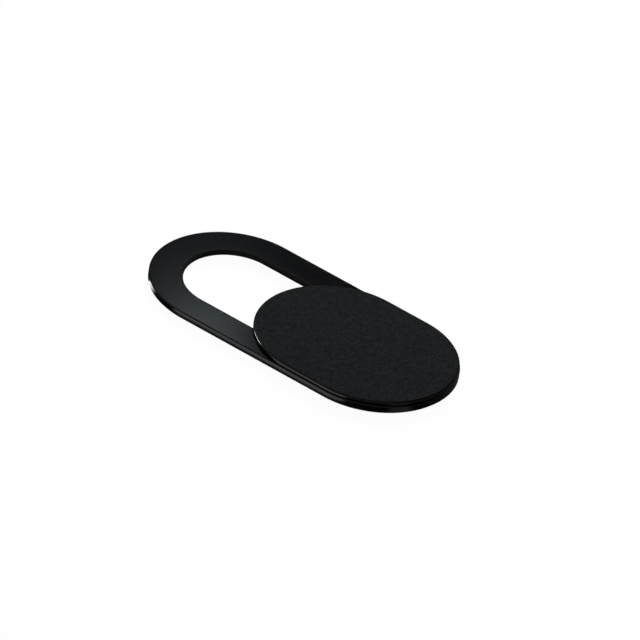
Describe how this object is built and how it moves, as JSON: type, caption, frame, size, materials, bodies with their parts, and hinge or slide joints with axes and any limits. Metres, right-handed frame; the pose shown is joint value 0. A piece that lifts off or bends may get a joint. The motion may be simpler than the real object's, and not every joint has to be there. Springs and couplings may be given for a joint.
{
  "type": "webcam cover slider",
  "caption": "Thin stick-on webcam cover: an obround frame with a through window, and a matt shutter plate that slides along it to open or close the camera's view.",
  "frame": {"origin": "middle of the frame's outline, on the tape face that sticks to the screen", "axes": "+X along the length towards the parked shutter, +Y across the width, +Z away from the screen"},
  "size_m": [0.0186, 0.009, 0.0007],
  "materials": {
    "frame_plastic": "satin black moulded plastic",
    "cover_plastic": "black plastic with a fine matt grain",
    "tape": "milky double-sided acrylic tape, tacky"
  },
  "bodies": {
    "base": {"frame": "frame_plastic", "adhesive_ring": "tape"},
    "slider": {"slider_cover": "cover_plastic", "slider_retainer": "frame_plastic"}
  },
  "joints": [
    {"name": "cover_slide", "type": "slide", "parent": "base", "child": "slider", "axis": [1, 0, 0], "range_m": [-0.007, 0]}
  ]
}
